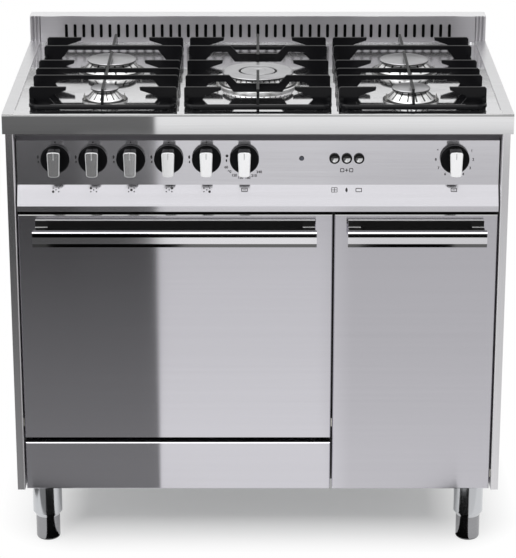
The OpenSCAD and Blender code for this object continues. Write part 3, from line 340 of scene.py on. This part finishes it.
hob_steel = brushed("hob_steel", (0.74, 0.74, 0.75), grain=(5, 700, 700), depth=None)
apron_top, apron_y = 0.8485, -0.284
fold_low, fold_y = 0.8462, -0.2832
rim_x, rear_y = 0.43, 0.12
apron = hob_steel.z.below(apron_top, 0.001) * hob_steel.y.below(apron_y, 0.001)
# The apron's top fold is painted a darker grey as shade, to tone down its highlight
shaded_fold = hob_steel.z.above(fold_low, 0.0006) * hob_steel.y.below(fold_y, 0.0006)
rim = abs(hob_steel.x).above(rim_x, 0.002) * (1 - apron)
rear = hob_steel.y.above(rear_y, 0.12) * (1 - apron) * (1 - rim)
hob_steel.feed("Roughness", 0.04 + 0.05 * hob_steel.smear - 0.03 * apron + 0.24 * rim
               + 0.3 * shaded_fold + 0.16 * rear)
hob_steel.feed("Base Color", hob_steel.mix(shaded_fold, hob_steel.tone, grey(0.3)))
hob_steel.relief(hob_steel.smear * (1 - apron), 2e-4)
hob_steel.on("hob_top")

upstand_steel = brushed("upstand_steel", (0.44, 0.43, 0.45), grain=(5, 900, 900),
                        streaks=0.03, depth=2e-6)
behind_face, before_back, slots_x = 0.2746, 0.3122, 0.428
under_top, top_z = 0.8978, 0.8992
# The insides of the punched slots are painted near black, as shade
shaded_slot_insides = (upstand_steel.y.within(behind_face, before_back, 0.0002)
                * upstand_steel.z.below(under_top) * abs(upstand_steel.x).below(slots_x))
# The top face is painted near white, as a painted highlight
highlighted_upstand_top = upstand_steel.z.above(top_z)
upstand_steel.feed("Base Color", upstand_steel.mix(
    shaded_slot_insides, upstand_steel.mix(highlighted_upstand_top, upstand_steel.tone, (0.95, 0.95, 0.96)),
    grey(0.02)))
upstand_steel.feed("Roughness", 0.42 - 0.2 * highlighted_upstand_top)
upstand_steel.on("upstand", "upstand_ends")

# ---------------------------------------------------------------- burners
# Die-cast alloy cups pass through the pan, and satin caps of the same metal lie loose on
# their crowns, a ring and a small cap on the wide one. Flame ports are slots milled round
# the crowns; the alloy is sooty in patches, and the slots and a seam low on each crown are
# painted near black as shade. Ceramics carry the spark pins.
burner_x, wide_y = 0.275, -0.054
front_step, row_step = -0.12, 0.214
between_middle_and_side, between_rows = 0.15, -0.067
wide_ports, small_ports, ports_z = 36, 16, 0.8535
seam_z = 0.8492, 0.8512
alloy = Finish("burner_alloy", metallic=1.0)
cast = alloy.noise((900, 900, 900), 3.0)
soot = alloy.noise((60, 60, 60), 3.0)

# Which way a point lies from the middle of its own burner gives its place among the ports
outer = abs(alloy.x).above(between_middle_and_side)
from_x = (abs(alloy.x) - burner_x) * outer + alloy.x * (1 - outer)
middle_y = wide_y + outer * (front_step + row_step * alloy.y.above(between_rows))
turn = (alloy.y - middle_y).math("ARCTAN2", from_x)
count = wide_ports - (wide_ports - small_ports) * outer
slots = (turn * count).math("COSINE") * (1 - 2 * outer)
# The ports' slots and the seam low on the crown are painted near black, as shade
shaded_ports = slots.above(0.78, 0.25) * alloy.z.above(ports_z, 0.001)
shaded_seam = alloy.z.within(*seam_z, 0.0005)
worn_alloy = alloy.mix(soot.above(0.62, 0.3), grey(0.84), (0.5, 0.49, 0.48))
alloy.feed("Base Color", alloy.mix((shaded_ports + shaded_seam).math("MINIMUM", 1.0), worn_alloy,
                                   grey(0.04)))
alloy.feed("Roughness", 0.24 + 0.2 * cast)
alloy.relief(cast, 3e-5)
alloy.on("burner_rear_left", "burner_rear_right", "burner_front_left", "burner_front_right",
         "burner_wok")

caps = Finish("cap_alloy")
caps_edge_z = 0.8694
pits = caps.noise((700, 700, 700), 3.0)
heat = caps.noise((30, 30, 30), 3.0)
# The caps' side walls are painted near black and not metallic, as the shade under their rims
shaded_wall = caps.z.below(caps_edge_z, 0.0006)
caps.feed("Base Color", caps.mix(shaded_wall, caps.mix(heat, (0.34, 0.34, 0.35), (0.48, 0.48, 0.49)),
                                 grey(0.02)))
caps.feed("Metallic", 0.7 * (1 - shaded_wall))
caps.feed("Roughness", 0.24 + 0.14 * pits)
caps.relief(pits, 1e-5)
caps.on("cap_rear_left", "cap_rear_right", "cap_front_left", "cap_front_right", "wok_ring",
        "wok_cap")

ceramic = Finish("ceramic", roughness=0.25, Coat_Weight=0.2)
scorch = ceramic.noise((300, 300, 300), 3.0)
ceramic.feed("Base Color", ceramic.mix(scorch.above(0.6, 0.3), (0.3, 0.3, 0.29),
                                       (0.16, 0.15, 0.14)))
ceramic.on("electrodes")

# ---------------------------------------------------------------- pan supports
# Three cast-iron pan supports, each a low frame with upright blades, stand loose on the
# pan. They are black enamelled in one thick coat that is slightly orange-peeled; the
# blades' tops are a little lighter and much rougher.
iron = Finish("grid_iron", Specular_IOR_Level=0.12)
blade_tops_z = 0.8832
peel = iron.noise((260, 260, 260), 2.0)
# The blades' tops are made a little lighter and rougher
lighter_duller_tops = iron.z.above(blade_tops_z, 0.0008)
iron.feed("Base Color", iron.mix(lighter_duller_tops * 0.7, (0.008, 0.008, 0.009), grey(0.03)))
iron.feed("Roughness", 0.1 + 0.1 * peel + 0.34 * lighter_duller_tops)
iron.relief(peel, 6e-5)
iron.on("grid_left", "grid_centre", "grid_right")

# ---------------------------------------------------------------- fascia
# The control panel is one folded strip of satin steel between the side panels. Its marks
# are screen-printed in black: flames beside the gas knobs, plain numbers round two dials,
# small plans of the hob and a few signs under them.
fascia_y, knob_z = -0.248, 0.759
slant_top, slant_foot = np.array([-0.248, 0.710]), np.array([-0.266, 0.675])
ink_y, ink_slant = 0.00012, np.array([-0.00011, 0.00006])
first_knob_mm, knob_step_mm, last_knob_mm = -361, 67.4, 350.5
middle_button_mm, button_step_mm = 158.5, 21.8
knob_x = [(first_knob_mm + knob_step_mm * i) / 1000 for i in range(6)] + [last_knob_mm / 1000]
button_x = [(middle_button_mm + button_step_mm * i) / 1000 for i in (-1, 0, 1)]

fascia_steel = brushed("fascia_steel", (0.74, 0.73, 0.77), 0.1, (6, 800, 800), 0.03, 1e-6, 1.0)
fascia_steel.on("fascia")

ink = Finish("print_ink", roughness=0.45)
worn = ink.noise((2500, 2500, 2500), 2.0)
ink.feed("Base Color", ink.mix(worn.above(0.66, 0.1), (0.012, 0.012, 0.013), grey(0.1)))


def on_face(outline, x, z):
    """Places a flat outline, in millimetres, on the upright face round a point."""
    a = np.asarray(outline, float) / 1000
    return np.stack([x + a[:, 0], np.full(len(a), fascia_y - ink_y), z + a[:, 1]], axis=1)


def on_slant(outline, x, up=0.76):
    """Places it on the slanted face, a share of the way up from its lower edge."""
    a = np.asarray(outline, float) / 1000
    width = np.hypot(*(slant_top - slant_foot))
    along_y, along_z = (slant_top - slant_foot) / width
    foot_y, foot_z = slant_foot + ink_slant
    s = up * width + a[:, 1]
    return np.stack([x + a[:, 0], foot_y + s * along_y, foot_z + s * along_z], axis=1)


def disc(r, x=0.0, z=0.0, n=16):
    """Points evenly round a circle."""
    t = np.linspace(0, 2 * np.pi, n, endpoint=False)
    return np.stack([x + r * np.cos(t), z + r * np.sin(t)], axis=1)


def flame(h, x=0.0, z=0.0, n=18):
    """A drop: its half width is the sine of the height's angle, thinned towards the tip."""
    t = np.linspace(0, 2 * np.pi, n, endpoint=False)
    return np.stack([x + 0.34 * h * np.sin(t) * (0.75 - 0.25 * np.cos(t)) * (1 + np.cos(t)) ** 0.4,
                     z - 0.5 * h * np.cos(t)], axis=1)


def strokes(lines, w):
    """Straight strokes of width w from one point to another, each as four corners."""
    made = []
    for x0, z0, x1, z1 in lines:
        a, b = np.array([x0, z0]), np.array([x1, z1])
        n = np.array([-(b - a)[1], (b - a)[0]]) / np.hypot(*(b - a)) * w / 2
        made.append(np.array([a - n, b - n, b + n, a + n]))
    return made


def box(x0, z0, x1, z1):
    """The four sides of a box, as lines to stroke."""
    return (x0, z0, x1, z0), (x1, z0, x1, z1), (x1, z1, x0, z1), (x0, z1, x0, z0)


# A large and a small flame and a dot at each gas knob; a dot and a flame at the thermostat
marks = []
for x in knob_x[:5]:
    marks += [on_face(sign, x, knob_z) for sign in
              (flame(7.0, -31, 2.5), flame(5.0, -30.5, -6.5), disc(1.5, 0, 29.8))]
marks += [on_face(sign, knob_x[5], knob_z) for sign in
          (disc(2.6, -31, 4.5), flame(5.5, -32, -4.0))]

# Under each gas knob a plan of the five burners, with its own one as a larger dot
burner_spots = ((-5, 3.2), (5, 3.2), (-5, -3.2), (5, -3.2), (0, 0))
for x, own in zip(knob_x[:5], (2, 0, 4, 1, 3)):
    marks += [on_slant(disc(2.3 if k == own else 1.2, *spot), x)
              for k, spot in enumerate(burner_spots)]

# Under the two dials an oven with its rack, and under the buttons a window, a flame and a
# box; close below the buttons two squares with a plus between them
for x in knob_x[5:]:
    marks += [on_slant(s, x) for s in strokes((*box(-5, -3, 5, 3), (-3, 0, 3, 0)), 1.3)]
marks += [on_slant(s, button_x[0]) for s in
          strokes((*box(-5, -4, 5, 4), (0, -4, 0, 4), (-5, 0, 5, 0)), 1.0)]
marks.append(on_slant(flame(8.5), button_x[1]))
marks += [on_slant(s, button_x[2]) for s in strokes(box(-5, -3.4, 5, 2.8), 1.3)]
marks += [on_face(s, button_x[1], knob_z) for s in
          strokes((*box(-11, -25, -5, -19), *box(5, -25, 11, -19)), 1.3)
          + strokes(((-3, -22, 3, -22), (0, -25, 0, -19)), 1.4)]


def number(text, x, angle, radius):
    """A plain printed number, its middle at an angle and radius round a knob: the points
    and faces of Blender's own letters, turned upright onto the face."""
    curve = bpy.data.curves.new("number", "FONT")
    curve.body, curve.size, curve.offset = text, 0.0066, 0.0002
    curve.align_x, curve.align_y = "CENTER", "CENTER"
    made = bpy.data.objects.new("number", curve)
    bpy.context.scene.collection.objects.link(made)
    mesh = bpy.data.meshes.new_from_object(made.evaluated_get(
        bpy.context.evaluated_depsgraph_get()))
    flat = np.empty(3 * len(mesh.vertices))
    mesh.vertices.foreach_get("co", flat)
    flat = 1000 * flat.reshape(-1, 3)[:, :2]
    flat += radius * np.array([np.cos(np.radians(angle)), np.sin(np.radians(angle))])
    polygons = [list(p.vertices) for p in mesh.polygons]
    bpy.data.objects.remove(made)
    bpy.data.meshes.remove(mesh)
    return on_face(flat, x, knob_z), polygons


# The thermostat's dial runs from 60 to 240 by thirties, the function dial from 1 to 9
outlines = [(m, [list(range(len(m)))]) for m in marks]
outlines += [number(str(60 + 30 * k), knob_x[5], angle, 36.5)
             for k, angle in enumerate((207, 223, 240, 259, 279, 298, 316))]
outlines += [number(str(k + 1), knob_x[6], 25 - 28.75 * k, 33.5) for k in range(9)]
starts = np.cumsum([0] + [len(points) for points, _ in outlines])
prints = surface("fascia_prints", np.concatenate([points for points, _ in outlines]),
                 [[v + start for v in face] for (_, faces), start in zip(outlines, starts)
                  for face in faces], ink)
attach(prints, "cooker")

# ---------------------------------------------------------------- knobs
# A knob is moulded in gloss black round its spindle. The face of its grip bar is a plate of
# brushed aluminium pressed into it, shaded as if it leaned back a little, with a rounded
# rim; its pointer is a short milled line.
plate_y, plate_rim_y, spindle_y = -0.2903, -0.2915, -0.2497
pointer_y, pointer_z, pointer_half = -0.29148, (0.7695, 0.7795), 0.0008
plate_lean = 0.035
pointer_metal = Finish("pointer_metal", (0.62, 0.62, 0.63), metallic=1.0)
milled = pointer_metal.noise((60, 60, 3000), 2.0)
pointer_metal.feed("Roughness", 0.4 + 0.2 * milled)
knob = Finish("knob_metal", Specular_IOR_Level=0.04)
plate = knob.y.below(plate_y)
metal = plate + knob.y.above(spindle_y)
grain = knob.noise((2500, 60, 60), 2.0)
plate_rim = knob.y.within(plate_rim_y, plate_y)
knob.feed("Base Color", knob.mix(metal, (0.008, 0.008, 0.009),
                                 knob.mix(grain, (0.86, 0.86, 0.87), (0.97, 0.97, 0.98))))
knob.feed("Metallic", metal)
knob.feed("Roughness", 0.2 + metal * (0.05 * grain - 0.12 + 0.4 * plate_rim))
knob.relief(grain * metal * 2e-6 - knob.z * plate * plate_lean, 1.0)
knob.on(*(f"knob_{i}" for i in range(1, 8)))
for i, x in enumerate(knob_x, 1):
    line = [(x + dx, pointer_y, z) for dx, z in
            rectangle(-pointer_half, pointer_z[0], pointer_half, pointer_z[1])]
    pointer = surface(f"pointer_{i}", line, [(0, 1, 2, 3)], pointer_metal)
    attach(pointer, f"knob_{i}")

# ---------------------------------------------------------------- buttons and lamp
# Three push buttons with domed chromed caps, their upper half painted near black as shade,
# stand in moulded black bezels; the lamp is a smoked lens in a black ring over a neon. The
# terminal box on the back is moulded of the same plastic as the bezels.
bezel = Finish("black_plastic", grey(0.01), Specular_IOR_Level=0.1)
bezel_grain = bezel.noise((1500, 1500, 1500), 2.0)
bezel.feed("Roughness", 0.15 + 0.2 * bezel_grain)
bezel.relief(bezel_grain, 1e-5)
bezel.on("button_bezels", "terminal_box")
chrome = Finish("button_metal", metallic=1.0)
# The caps' upper half is painted near black, as shade
shaded_upper_half = chrome.z.above(knob_z + 0.0012, 0.002)
chrome.feed("Base Color", chrome.mix(shaded_upper_half, (0.78, 0.78, 0.79), grey(0.03)))
chrome.feed("Roughness", 0.08 + 0.1 * chrome.noise((900, 900, 900), 3.0))
chrome.on("button_1", "button_2", "button_3")
lamp_x, lens_r = 0.078, 0.0035
lens = Finish("lamp_lens", roughness=0.08, Specular_IOR_Level=0.35)
facets = lens.cells((900, 900, 900))
from_centre = ((lens.x - lamp_x) ** 2 + (lens.z - knob_z) ** 2) ** 0.5
lens.feed("Base Color", lens.mix(from_centre.above(lens_r, 0.0006), lens.mix(
    facets, (0.03, 0.035, 0.045), (0.14, 0.15, 0.19)), grey(0.01)))
lens.relief(facets, 1e-4)
lens.on("indicator_lamp")

# ---------------------------------------------------------------- doors
# Each door is a pan of satin stainless sheet on pins at its lower edge, closed at the back
# by an enamelled liner with a raised plug. A braided gasket is clipped round each oven's
# mouth. The drawer's front is of the doors' sheet.
fold_z = 0.6574
door_steel = brushed("door_steel", (0.6, 0.59, 0.63), 0.09, (4, 900, 900), 0.02, 1e-6, 1.0)
# The top fold is painted a darker grey as shade, to tone down its highlight
shaded_top_fold = door_steel.z.above(fold_z, 0.0006)
door_steel.feed("Base Color", door_steel.mix(shaded_top_fold, door_steel.tone, grey(0.2)))
door_steel.on("door_left_skin", "door_right_skin", "drawer_front")
enamel = Finish("oven_enamel", Coat_Weight=0.5)
fleck = enamel.cells((420, 420, 420))
ripple = enamel.noise((60, 60, 60), 2.0)
enamel.feed("Base Color", enamel.mix(fleck.below(0.16, 0.06), (0.035, 0.036, 0.04),
                                     (0.4, 0.4, 0.42)))
enamel.feed("Roughness", 0.1 + 0.14 * ripple)
enamel.relief(ripple, 2e-4)
enamel.on("door_left_liner", "door_right_liner", "oven_left", "oven_right")
braid = Finish("gasket_braid", roughness=0.9)
strands = 2600
weave = ((braid.x + braid.z) * strands).math("SINE")
cross = ((braid.x - braid.z) * strands).math("SINE")
braided = 0.5 + 0.5 * weave * cross
braid.feed("Base Color", braid.mix(braided, grey(0.03), (0.14, 0.14, 0.15)))
braid.relief(braided, 3e-4)
braid.on("gaskets")

# ---------------------------------------------------------------- door handles
# A grip is an extruded bar with a bright top lip, a groove under it and a round foot,
# polished along its length. It stands on two posts of a gloss black trim on the door.
groove_z, groove_y = (0.6321, 0.6383), -0.3138
foot_z, foot_y = 0.6199, -0.3
lip_z, lip_y = 0.6402, -0.3085
grip_steel = brushed("grip_steel", (0.9, 0.89, 0.92), 0.09, (4, 1200, 1200), 0.04, 2e-6)
# The groove is painted near black, and the foot and the back of the lip dark grey, as shade
shaded_groove = grip_steel.z.within(*groove_z, 0.0002) * grip_steel.y.above(groove_y, 0.0002)
shaded_foot = grip_steel.z.below(foot_z, 0.0003) * grip_steel.y.below(foot_y, 0.0003)
shaded_behind_lip = grip_steel.z.above(lip_z, 0.0003) * grip_steel.y.above(lip_y, 0.0005)
shaded_parts = (shaded_foot + shaded_behind_lip).math("MINIMUM", 1.0)
grip_steel.feed("Base Color", grip_steel.mix(
    shaded_groove, grip_steel.mix(shaded_parts, grip_steel.tone, grey(0.12)), grey(0.01)))
grip_steel.on("handle_left", "handle_right")

# The trim's upper edge and the posts' tops are painted light grey along a fine line, as a
# highlight
trim_top_z = 0.6491
post_top_z, post_y = (0.6376, 0.6384), (-0.2752, -0.2695)
trim = Finish("black_trim", Specular_IOR_Level=0.3)
painted_highlights = (trim.z.above(trim_top_z, 0.0002)
         + trim.z.within(*post_top_z, 0.0002) * trim.y.within(*post_y, 0.0002))
trim.feed("Base Color", trim.mix(painted_highlights, grey(0.012), grey(0.6)))
flow = trim.noise((30, 200, 200), 2.0)
trim.feed("Roughness", 0.06 + 0.12 * flow)
trim.on("handle_mount_left", "handle_mount_right")

# ---------------------------------------------------------------- drawer and casing
# The casing is galvanised sheet: base, louvred back, partition, drawer and runners, spot
# welded and screwed. The front frame behind the doors is painted black, and its top rail
# under the hob is left paler.
zinc = Finish("galvanised", metallic=1.0)
flake = zinc.node("ShaderNodeSeparateXYZ", {}, [zinc.cells((70, 70, 70), "Color")])
zinc.feed("Base Color", zinc.mix(flake, (0.42, 0.43, 0.44), (0.6, 0.61, 0.62)))
zinc.feed("Roughness", 0.3 + 0.22 * flake)
zinc.on("base_pan", "back_panel", "centre_partition", "drawer_box", "drawer_runners")
top_rail_z = 0.788
paint = Finish("frame_steel")
orange_peel = paint.noise((350, 350, 350), 2.0)
paint.feed("Base Color", paint.mix(paint.z.above(top_rail_z, 0.001), grey(0.08),
                                   (0.36, 0.35, 0.37)))
paint.feed("Roughness", 0.28 + 0.2 * orange_peel)
paint.relief(orange_peel, 5e-5)
paint.on("front_frame")

# Pan-head screws hold the back panel: a domed head with a cross recess, turned from a
# profile of radii and heights
screw_places = [(x, z) for z in (0.14, 0.8) for x in np.linspace(-0.43, 0.43, 7)]
screw_places += [(x, z) for x in (-0.43, 0.43) for z in (0.3, 0.46, 0.62)]
back_y, head_r, recess_r, recess_depth = 0.288, 0.0042, 0.0025, 0.001
profile_r = np.array([0.0, 0.25, 0.5, 0.75, 0.93, 1.0, 1.0]) * head_r
profile_y = np.array([0.0022, 0.00215, 0.002, 0.0016, 0.001, 0.0004, 0.0])
radii, turns = np.meshgrid(profile_r, np.linspace(0, 2 * np.pi, 24, endpoint=False),
                           indexing="ij")
recess = (np.abs(np.cos(2 * turns)) > 0.9) & (radii < recess_r)
rise = profile_y[:, None] - np.where(recess, recess_depth, 0.0)
heads = []
for x, z in screw_places:
    grid = np.stack([x + radii * np.cos(turns), back_y + rise, z + radii * np.sin(turns)], axis=2)
    heads.append(np.concatenate([grid, grid[:, :1]], axis=1).reshape(-1, 3))
rows, columns = radii.shape[0], radii.shape[1] + 1
i, j = np.meshgrid(np.arange(rows - 1), np.arange(columns - 1), indexing="ij")
corner = (i * columns + j).ravel()
quads = np.stack([corner, corner + 1, corner + columns + 1, corner + columns], axis=1)
faces = np.concatenate([quads + k * rows * columns for k in range(len(heads))])
screw_zinc = brushed("screw_zinc", (0.6, 0.6, 0.58), 0.3, (200, 200, 200), 0.05)
screws = surface("back_screws", np.concatenate(heads), faces[:, ::-1], screw_zinc)
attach(screws, "cooker")

# ---------------------------------------------------------------- side panels
# The side panels are satin stainless sheet, brushed upright, with folded front returns
# that close the gaps beside the doors. The returns' cut inner edges are left rougher.
return_edge_x, return_y = 0.4348, -0.23
panel_steel = brushed("panel_steel", (0.76, 0.75, 0.77), grain=(700, 700, 6), streaks=0.03,
                      depth=2e-6)
inner_edge = abs(panel_steel.x).below(return_edge_x, 0.0006) * panel_steel.y.below(return_y)
panel_steel.feed("Roughness", 0.15 + 0.4 * inner_edge)
panel_steel.on("side_panel_left", "side_panel_right")

# ---------------------------------------------------------------- legs
# Each leg is a chromed tube that hides a threaded spindle, with a turned steel foot under
# it that screws in and out to level the cooker; its lowest few millimetres are painted near black.
leg_chrome = Finish("leg_chrome", (0.55, 0.56, 0.58), metallic=1.0)
drawn = leg_chrome.noise((500, 500, 20), 2.0)
leg_chrome.feed("Roughness", 0.08 + 0.12 * drawn)
leg_chrome.relief(drawn, 4e-6)
leg_chrome.on("leg_sleeves")
dark_bottom_z = 0.0035
foot_steel = Finish("foot_steel", metallic=1.0)
lathe = foot_steel.noise((40, 40, 2500), 2.0)
foot_steel.feed("Roughness", 0.1 + 0.08 * lathe)
# The foot's lowest few millimetres are painted near black
foot_steel.feed("Base Color", foot_steel.mix(
    foot_steel.z.above(dark_bottom_z, 0.001), grey(0.02),
    foot_steel.mix(lathe, (0.24, 0.24, 0.25), (0.36, 0.36, 0.37))))
foot_steel.relief(lathe, 2e-6)
foot_steel.on("leg_feet")

# ---------------------------------------------------------------- ovens' fittings
# Chromed wire racks lie on the ovens' ribs, and sheathed grill elements, oxidised dark,
# hang under their roofs. The doors turn on zinc-plated hinge arms.
rack_chrome = Finish("rack_chrome", (0.72, 0.72, 0.73), metallic=1.0)
rack_chrome.feed("Roughness", 0.07 + 0.14 * rack_chrome.noise((120, 120, 120), 3.0))
rack_chrome.on("rack_left", "rack_right")
element = Finish("element_steel", metallic=0.6)
scale_marks = element.noise((90, 90, 90), 4.0)
element.feed("Base Color", element.mix(scale_marks, (0.05, 0.045, 0.045), (0.2, 0.17, 0.16)))
element.feed("Roughness", 0.35 + 0.35 * scale_marks)
element.on("grill_elements")
hinge_steel = brushed("hinge_steel", (0.58, 0.57, 0.53), 0.3, (300, 20, 300), 0.06)
hinge_steel.on("hinge_arms")

# ---------------------------------------------------------------- gas
# The gas rail is brass tube with pressed brass taps saddled on it; its inlet behind the
# cooker has a G 1/2 thread, fourteen turns to the inch.
thread_pitch, thread_y = 0.001814, 0.2955
brass = Finish("brass", metallic=1.0)
tarnish = brass.noise((80, 80, 80), 3.0)
brass.feed("Base Color", brass.mix(tarnish, (0.62, 0.45, 0.2), (0.8, 0.62, 0.32)))
brass.feed("Roughness", 0.2 + 0.2 * tarnish)
thread = (brass.y * (2 * np.pi / thread_pitch)).math("SINE")
brass.relief(thread * brass.y.above(thread_y, 0.0005), 9e-4)
brass.on("gas_rail", "gas_taps")
